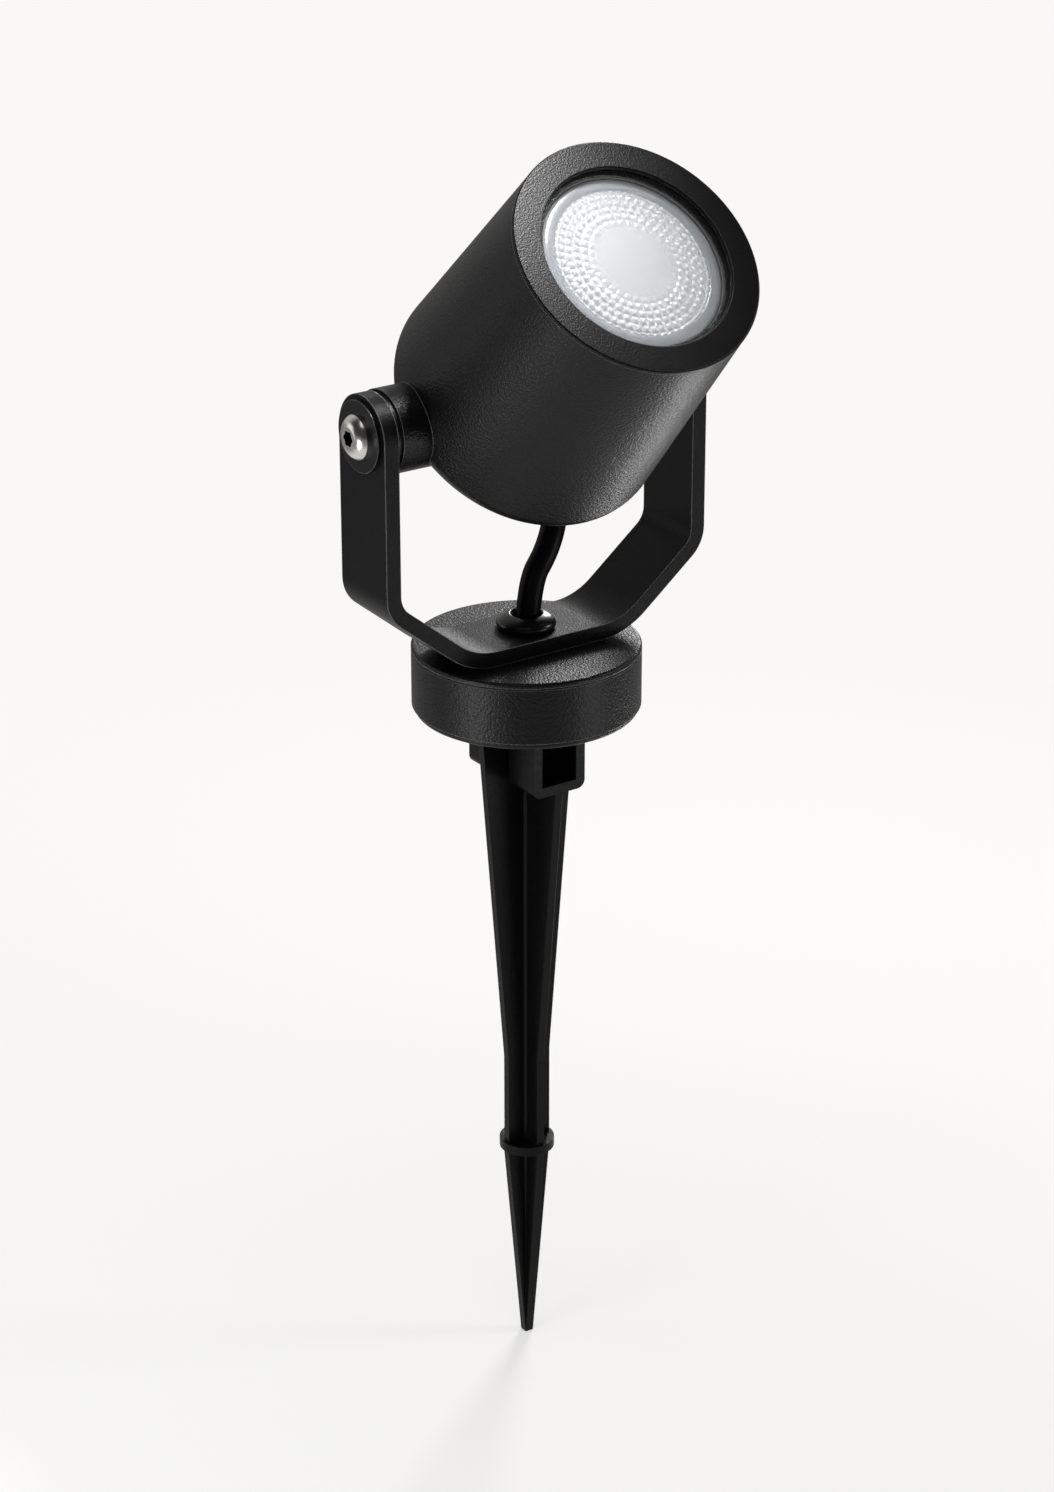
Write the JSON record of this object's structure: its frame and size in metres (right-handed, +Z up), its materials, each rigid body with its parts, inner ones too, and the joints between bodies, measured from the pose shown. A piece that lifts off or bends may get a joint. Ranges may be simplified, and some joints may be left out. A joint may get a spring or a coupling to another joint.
{
  "type": "garden spike spotlight",
  "caption": "Garden spotlight with a tilting lamp head in a swivelling yoke on a round base, over a cross-finned ground spike.",
  "frame": {"origin": "on the spike's axis at the underside of the base, where the ground comes to", "axes": "+Z up along the spike's axis, the tilt axis parallel to X, the lamp facing -Y"},
  "size_m": [0.1146, 0.109, 0.3728],
  "materials": {
    "cast_black": "fine textured matte black powder coat on cast aluminium",
    "bar_black": "satin black powder coat on aluminium bar",
    "washer_black": "satin black",
    "spike_plastic": "moulded, semi-matte",
    "gland_black": "moulded nylon",
    "black_rubber": "smooth soft black rubber",
    "clear_glass": "clear toughened glass",
    "lamp_optic": "frosted moulded optic with clear rim",
    "lamp_white": "white moulded plastic",
    "board_white": "white solder resist",
    "emitter_yellow": "phosphor",
    "ceramic": "unglazed ceramic",
    "bright_brass": "plain",
    "zinc_steel": "zinc plated",
    "stainless": "polished stainless",
    "nylon_white": "moulded nylon",
    "core_brown": "insulated wire",
    "core_green": "insulated wire"
  },
  "bodies": {
    "base": {"base_housing": "cast_black", "spike": "spike_plastic", "base_cover": "spike_plastic", "swivel_washer": "nylon_white", "base_gasket": "black_rubber", "cover_screws": "stainless", "spike_screw": "stainless", "inlet_gland": "black_rubber", "terminal_block": "nylon_white", "terminal_screws": "bright_brass", "terminal_fixing_screws": "zinc_steel", "base_cores": "core_brown"},
    "bracket": {"yoke": "bar_black", "outer_washers": "washer_black", "friction_washers": "washer_black", "stem": "zinc_steel", "stem_spring_washer": "zinc_steel", "stem_nut": "zinc_steel", "stem_grommet": "black_rubber", "flex_lead": "black_rubber"},
    "head": {"head_shell": "cast_black", "ring_seal": "black_rubber", "lamp_lens": "lamp_optic", "lamp_body": "lamp_white", "led_board": "board_white", "led_emitter": "emitter_yellow", "lamp_base": "lamp_white", "lamp_pins": "bright_brass", "lamp_holder": "ceramic", "holder_plate": "zinc_steel", "plate_screws": "zinc_steel", "holder_screws": "zinc_steel", "earth_lug": "bright_brass", "earth_screw": "zinc_steel", "earth_core": "core_green", "head_cores": "core_brown", "gland_body": "gland_black", "gland_cap": "gland_black", "gland_seal": "black_rubber", "gland_locknut": "gland_black", "pivot_inserts": "bright_brass", "pivot_screws": "stainless"},
    "pane": {"front_glass": "clear_glass", "glass_gasket": "black_rubber"},
    "ring": {"front_ring": "cast_black"}
  },
  "joints": [
    {"name": "yoke_swivel", "type": "hinge", "parent": "base", "child": "bracket", "pos_m": [0, 0, 0.02], "axis": [0, 0, 1], "range_deg": [-170, 170]},
    {"name": "head_tilt", "type": "hinge", "parent": "bracket", "child": "head", "pos_m": [0, 0, 0.0905], "axis": [1, 0, 0], "range_deg": [-59, 46], "deforming": ["flex_lead"]},
    {"name": "pane_lift", "type": "slide", "parent": "head", "child": "pane", "axis": [0, -0.6947, 0.7193], "range_m": [0, 0.0045]},
    {"name": "ring_unscrew", "type": "hinge", "parent": "pane", "child": "ring", "pos_m": [0, 0, 0.0905], "axis": [0, -0.6947, 0.7193], "range_deg": [0, 1080]}
  ],
  "couplings": [
    {"joint": "ring_unscrew", "follows": "pane_lift", "rad_per_m": 4188.8}
  ]
}
